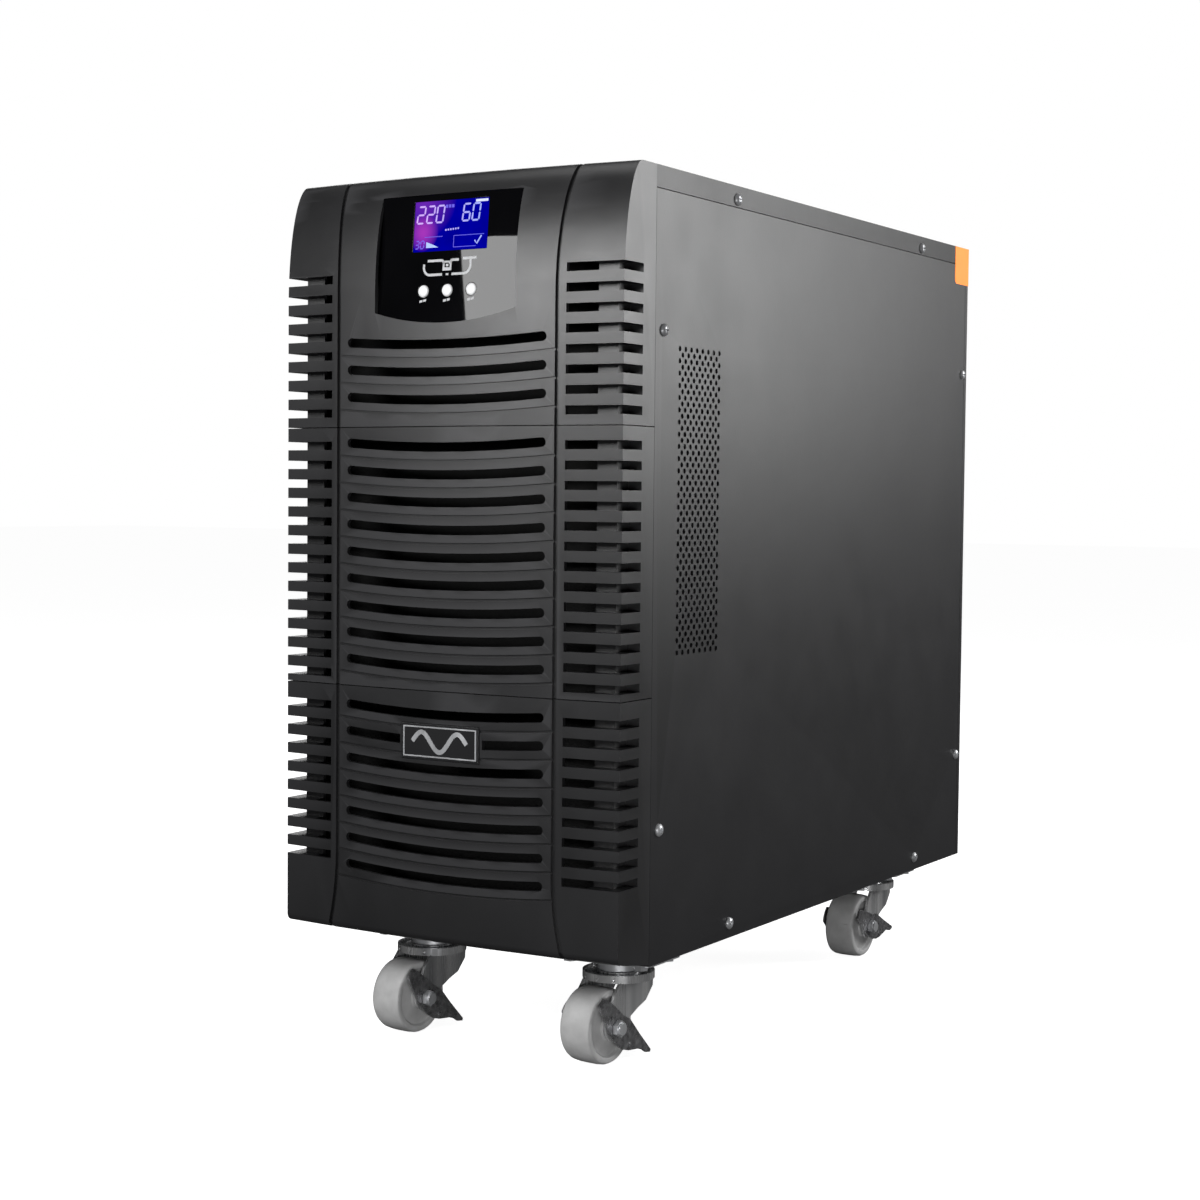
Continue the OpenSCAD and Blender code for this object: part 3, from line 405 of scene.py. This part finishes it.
def make_plates(name, outlines, place, thickness, material):
    """One piece of the cabinet, made of thin plates with the given outlines."""
    bm = bmesh.new()
    for outline in outlines:
        plate_shape(bm, facing(outline), place, thickness)
    mesh = bpy.data.meshes.new(name)
    bm.normal_update()
    bm.to_mesh(mesh)
    bm.free()
    mesh.materials.append(material)
    piece = bpy.data.objects.new(name, mesh)
    bpy.context.scene.collection.objects.link(piece)
    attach(piece, CABINET)


def rectangle(u0, v0, u1, v1):
    """The outline of a rectangle between two opposite corners."""
    return [(u0, v0), (u1, v0), (u1, v1), (u0, v1)]


def ribbon(points, width):
    """The outline of a line of constant width through points, with square ends."""
    left, right = [], []
    for i, point in enumerate(points):
        before = Vector(points[max(i - 1, 0)])
        after = Vector(points[min(i + 1, len(points) - 1)])
        along = (after - before).normalized()
        side = Vector((-along.y, along.x)) * width / 2
        left.append(tuple(Vector(point) + side))
        right.append(tuple(Vector(point) - side))
    return left + right[::-1]


def arc(cx, cy, r, start, end, steps=8):
    """Points along an arc, from one angle in degrees to the other."""
    angles = [math.radians(start + (end - start) * i / steps) for i in range(steps + 1)]
    return [(cx + r * math.cos(a), cy + r * math.sin(a)) for a in angles]


# Seven-segment figures: which segments are lit, and how far the figures lean per millimetre of height.
SEGMENTS_OF = {"0": "abcdef", "2": "abged", "3": "abgcd", "6": "afgedc"}
SLANT = 0.12
# Width, height and bar width of the large and of the small figures, and the pitch from one to the next.
LARGE_FIGURE, LARGE_PITCH = (5.2, 10.6, 1.15), 7.4
SMALL_FIGURE, SMALL_PITCH = (2.6, 4.8, 0.8), 4.0


def segment_outline(start, end, bar, gap):
    """One level or upright segment between two points of the figure, with pointed ends."""
    (x0, y0), (x1, y1) = start, end
    dx, dy = (1, 0) if y0 == y1 else (0, 1)
    h = bar / 2
    return [
        (x0 + dx * gap, y0 + dy * gap),
        (x0 + dx * (h + gap) - dy * h, y0 + dy * (h + gap) - dx * h),
        (x1 - dx * (h + gap) - dy * h, y1 - dy * (h + gap) - dx * h),
        (x1 - dx * gap, y1 - dy * gap),
        (x1 - dx * (h + gap) + dy * h, y1 - dy * (h + gap) + dx * h),
        (x0 + dx * (h + gap) + dy * h, y0 + dy * (h + gap) + dx * h),
    ]


def figure_outlines(figures, u, v, shape, pitch):
    """Outlines of the lit segments of a row of figures, with the foot of the first at u, v."""
    width, height, bar = shape
    mid, gap = height / 2, 0.18 * bar
    ends = {
        "a": ((0, height), (width, height)), "g": ((0, mid), (width, mid)), "d": ((0, 0), (width, 0)),
        "f": ((0, mid), (0, height)), "e": ((0, 0), (0, mid)),
        "b": ((width, mid), (width, height)), "c": ((width, 0), (width, mid)),
    }
    made = []
    for i, figure in enumerate(figures):
        for letter in SEGMENTS_OF[figure]:
            outline = segment_outline(*ends[letter], bar, gap)
            made.append([(u + i * pitch + x + SLANT * y, v + y) for x, y in outline])
    return made


def make_display():
    """Lit figures and marks: volts and hertz above, load and battery below, and a painted highlight bar at
    the top right.
    """
    lit, figures_v = 0.05, 64.6
    digits = figure_outlines("220", -26.6, figures_v, LARGE_FIGURE, LARGE_PITCH)
    digits += figure_outlines("60", 8.6, figures_v, LARGE_FIGURE, LARGE_PITCH)
    word_u, word_v, dash, pitch, climb = -4.2, 58.9, 1.1, 1.9, 0.12
    for i in range(6):
        u, v = word_u + pitch * i, word_v + climb * i
        digits.append(rectangle(u, v, u + dash, v + dash))
    tick = [(19.0, 51.8), (20.6, 49.6), (24.0, 54.6)]
    digits.append(ribbon(tick, 1.0))
    make_plates("lcd_digits", digits, on_lcd, lit, SEGMENT)

    # Painted highlight: a glowing bar standing in for a bright reflection at the top right of the lens.
    painted_highlight_bar = rectangle(18.5, 76.1, 27.8, 77.7)
    wedge = [(-18.5, 48.6), (-9.0, 48.6), (-12.5, 50.2), (-18.5, 52.4)]
    make_plates("lcd_bright_mark_and_painted_highlight", [painted_highlight_bar, wedge], on_lcd, lit, BRIGHT_SEGMENT_AND_HIGHLIGHT)

    marks = [rectangle(-4.6 + 2.4 * i, 73.6, -2.9 + 2.4 * i, 75.6) for i in range(3)]
    foot, line = 48.0, 0.4
    marks += figure_outlines("30", -27.2, foot + line, SMALL_FIGURE, SMALL_PITCH)
    frame_u, frame_head = 2.6, 55.3
    marks += [
        rectangle(-20.0, frame_head, -6.0, frame_head + line),
        rectangle(frame_u, frame_head, 26.0, frame_head + line),
        rectangle(frame_u, foot, 20.0, foot + line),
        rectangle(frame_u, foot + line, frame_u + line, frame_head),
    ]
    make_plates("lcd_marks", marks, on_lcd, lit, DIM_SEGMENT)


# Where the three buttons stand across the lens.
BUTTONS_U = (-18.5, 0.0, 18.5)


def dash_pair(u):
    """Two short slanted dashes under the button at u, in place of a caption."""
    left, foot = u - 2.6, 13.4
    length, height, tilt = 2.3, 1.5, 0.4
    step, rise = 2.8, 0.5
    made = []
    for i in range(2):
        start, low = left + step * i, foot + rise * i
        end, end_low = start + length, low + tilt
        made.append([(start, low), (end, end_low), (end, end_low + height), (start, low + height)])
    return made


def make_lens_print():
    """One-line diagram over the buttons and two short dashes under each of them, in white ink."""
    line, thick = 1.6, 0.04
    rail, switch_foot = 40.0, 37.8
    loop_foot, bend, bend_v = 31.0, 5.0, 36.0
    feed_u, load_u = -14.0, 12.0
    shapes = [
        ribbon([(-16.3, rail), (-5.2, rail)], line),
        ribbon([(-5.2, 40.3), (-3.2, switch_foot)], line),
        ribbon([(0.6, switch_foot), (2.6, 40.3)], line),
        ribbon([(2.6, rail), (8.0, rail)], line),
        ribbon([(11.0, 40.6), (21.5, 40.6)], line),
        ribbon([(load_u + bend, 40.4), (load_u + bend, 36.5)] + arc(load_u, bend_v, bend, 0, -90)
               + [(2.8, loop_foot)], line),
        ribbon([(feed_u - bend, 38.0), (feed_u - bend, bend_v)] + arc(feed_u, bend_v, bend, 180, 270)
               + [(-4.6, loop_foot)], line),
    ]
    left, right, foot, head, wall = -4.4, 2.4, 33.4, 39.6, 1.4
    sill, lintel = foot + 2.0, head - 1.2
    shapes += [
        rectangle(left, foot, right, sill),
        rectangle(left, sill, left + wall, lintel),
        rectangle(right - wall, sill, right, lintel),
        rectangle(left, lintel, right, head),
        rectangle(-1.9, 36.0, 0.0, 37.6),
        rectangle(-1.7, 30.4, 0.3, 31.6),
    ]
    for u in BUTTONS_U:
        shapes += dash_pair(u)
    make_plates("lens_print", shapes, on_lens, thick, PRINT_WHITE)


def make_badge_wave():
    """A plain alternating-current wave in bright metal on the badge plate."""
    half, swing, turns, steps = 21, 6.2, 1.5, 48
    line, wave_thick, rim_thick = 3.0, 0.35, 0.25
    wave = []
    for i in range(steps + 1):
        wave.append((-half + 2 * half * i / steps, swing * math.sin(2 * math.pi * turns * i / steps)))
    bright = MATERIALS["zinc_steel"]
    make_plates("badge_wave", [ribbon(wave, line)], on_badge, wave_thick, bright)

    low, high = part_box("badge")
    rim, inset = 0.9, 1.6
    half_u = (high.x - low.x) / 2 / MM - inset
    half_v = (high.z - low.z) / 2 / MM - inset
    bars = [
        rectangle(-half_u, half_v - rim, half_u, half_v),
        rectangle(-half_u, -half_v, half_u, -half_v + rim),
        rectangle(-half_u, -half_v + rim, -half_u + rim, half_v - rim),
        rectangle(half_u - rim, -half_v + rim, half_u, half_v - rim),
    ]
    make_plates("badge_rim", bars, on_badge, rim_thick, bright)


def make_slot_shade_sheet():
    """Near-black sheet behind all three bezels, painted shade that keeps the slots dark, with a notch for
    the display's ribbon cable.
    """
    half_x, foot, head = 126.0, 6.0, 447.0
    notch_x, notch_z = 18.0, 423.0
    gap, thick = 0.4, 3.0
    outline = [
        (-half_x, foot), (half_x, foot), (half_x, head), (notch_x, head), (notch_x, notch_z),
        (-notch_x, notch_z), (-notch_x, head), (-half_x, head),
    ]

    def place(x, z, out):
        return Vector((x * MM, JOINT_Y - (gap + out) * MM, BASE_Z + z * MM))

    make_plates("slot_shade_sheet", [outline], place, thick, SLOT_SHADE_SHEET)


make_display()
make_lens_print()
make_badge_wave()
make_slot_shade_sheet()


# ---------------------------------------------------------------- floor, light, camera

FLOOR_SIZE = 30.0
FLOOR_GLOW = 0.93
# Greys of the floor and of the room in what the object mirrors.
FLOOR_DIM = 0.1
ROOM = 0.07

CAMERA_PLACE = Vector((0.7892, JOINT_Y - 1.1466, BASE_Z + 0.2963))
CAMERA_YAW, CAMERA_PITCH, CAMERA_ROLL = -0.5465, 0.0497, 0.0093
CAMERA_SENSOR, CAMERA_FOCUS = 36.0, 63.83

# Where each softbox stands and points, its width and height in metres, and how bright its face is.
SOFTBOXES = {
    "low_softbox": ((0.95, -1.3, 0.12), (-0.9, 1.25, -0.06), (0.9, 0.18), 12.5),
    "top_softbox": ((-0.3, -0.5, 2.6), (0.1, 0.2, -1), (1.6, 1.6), 2.0),
    "back_softbox": ((-1.6, 2.0, 1.4), (0.6, -0.75, -0.35), (1.2, 1.0), 3.0),
}


def mirrored(point, normal):
    """The direction in which the camera looks by way of a flat mirror at point."""
    ray = (point - CAMERA_PLACE).normalized()
    return ray - 2 * ray.dot(normal) * normal


def for_camera_only(tree, seen, lit):
    """Mixes two shaders: what the picture shows, and what lights and mirrors in the object."""
    path = tree.nodes.new("ShaderNodeLightPath")
    mix = tree.nodes.new("ShaderNodeMixShader")
    tree.links.new(path.outputs["Is Camera Ray"], mix.inputs["Fac"])
    tree.links.new(lit, mix.inputs[1])
    tree.links.new(seen, mix.inputs[2])
    return mix.outputs[0]


def make_stage():
    """A wide pale floor, glowing white for the camera."""
    bpy.ops.mesh.primitive_plane_add(size=FLOOR_SIZE, location=(0, 0, 0))
    floor = bpy.context.object
    floor.name = "studio_floor"
    s = Shader("studio_floor")
    tint = s.ramp(s.noise(1.5, 3.0), [(NOISE_LOW, (0.86, 0.86, 0.86)), (NOISE_HIGH, (0.9, 0.9, 0.9))])
    s.set(Base_Color=tint, Roughness=0.9, Emission_Color=(1.0, 1.0, 1.0), Emission_Strength=FLOOR_GLOW)
    dim = s.node("ShaderNodeBsdfDiffuse")
    dim.inputs["Color"].default_value = (FLOOR_DIM, FLOOR_DIM, FLOOR_DIM, 1.0)
    both = for_camera_only(s.tree, s.bsdf.outputs[0], dim.outputs[0])
    s.link(both, s.tree.nodes["Material Output"].inputs["Surface"])
    floor.data.materials.append(s.material)


def make_world():
    """White behind the object, and a dim studio in what the object mirrors."""
    world = bpy.data.worlds.new("studio")
    bpy.context.scene.world = world
    world.use_nodes = True
    tree = world.node_tree
    seen = tree.nodes["Background"]
    seen.inputs["Strength"].default_value = 1.0
    seen.inputs["Color"].default_value = (1, 1, 1, 1)
    lit = tree.nodes.new("ShaderNodeBackground")
    lit.inputs["Strength"].default_value = ROOM
    both = for_camera_only(tree, seen.outputs[0], lit.outputs[0])
    tree.links.new(both, tree.nodes["World Output"].inputs["Surface"])


def make_area(name, place, toward, size, radiance, side=None):
    """A rectangular softbox: its power follows from its size and how bright its face is."""
    data = bpy.data.lights.new(name, "AREA")
    data.shape = "RECTANGLE"
    data.size, data.size_y = size
    data.energy = math.pi * size[0] * size[1] * radiance
    light = bpy.data.objects.new(name, data)
    back = -Vector(toward).normalized()
    side = side or Vector((0, 0, 1)).cross(back).normalized()
    turn = Matrix((side, back.cross(side), back)).transposed().to_4x4()
    light.matrix_world = Matrix.Translation(Vector(place)) @ turn
    bpy.context.scene.collection.objects.link(light)


def make_front_softbox():
    """This softbox shows in the lens, with its upper left corner seen beside the display."""
    size, radiance, tilt = (0.6, 0.28), 16.0, math.radians(10)
    corner_u, corner_v = 8.0, 53.6
    corner = on_lens(corner_u, corner_v)
    away = mirrored(corner, LENS_W)
    across = Vector((-away.y, away.x, 0.0)).normalized()
    across = across if across.x > 0 else -across
    upward = away.cross(across) if away.cross(across).z > 0 else across.cross(away)
    roll = Matrix.Rotation(tilt, 3, away)
    across, upward = roll @ across, roll @ upward
    place = corner + away + across * size[0] / 2 - upward * size[1] / 2
    make_area("front_softbox", place, -away, size, radiance, across)


def make_right_softbox():
    """This softbox stands high behind the right side and grazes it."""
    size, radiance = (0.9, 1.0), 8.8
    aim = Vector((0.13, -0.1, 0.45))
    bearing, rise, reach = math.radians(40), math.radians(13), 2.2
    level = math.cos(rise)
    way = Vector((math.sin(bearing) * level, math.cos(bearing) * level, math.sin(rise)))
    make_area("right_softbox", aim + reach * way, -way, size, radiance)


def make_light():
    """The world and all softboxes."""
    make_world()
    make_front_softbox()
    make_right_softbox()
    for name, (place, toward, size, radiance) in SOFTBOXES.items():
        make_area(name, place, toward, size, radiance)


def make_camera():
    """The camera stands to the front right of the unit, a little above its middle, nearly level."""
    level = math.cos(CAMERA_PITCH)
    ahead = Vector((math.sin(CAMERA_YAW) * level, math.cos(CAMERA_YAW) * level, -math.sin(CAMERA_PITCH)))
    right = Vector((math.cos(CAMERA_YAW), -math.sin(CAMERA_YAW), 0.0))
    up = right.cross(ahead)
    tilted = math.cos(CAMERA_ROLL) * right + math.sin(CAMERA_ROLL) * up
    top = -math.sin(CAMERA_ROLL) * right + math.cos(CAMERA_ROLL) * up
    turn = Matrix((tilted, top, -ahead)).transposed().to_4x4()
    data = bpy.data.cameras.new("camera")
    data.sensor_width = CAMERA_SENSOR
    data.lens = CAMERA_FOCUS
    data.clip_end = 100.0
    camera = bpy.data.objects.new("camera", data)
    camera.matrix_world = Matrix.Translation(CAMERA_PLACE) @ turn
    bpy.context.scene.collection.objects.link(camera)
    bpy.context.scene.camera = camera


make_stage()
make_light()
make_camera()
bpy.context.scene.view_settings.view_transform = "Standard"
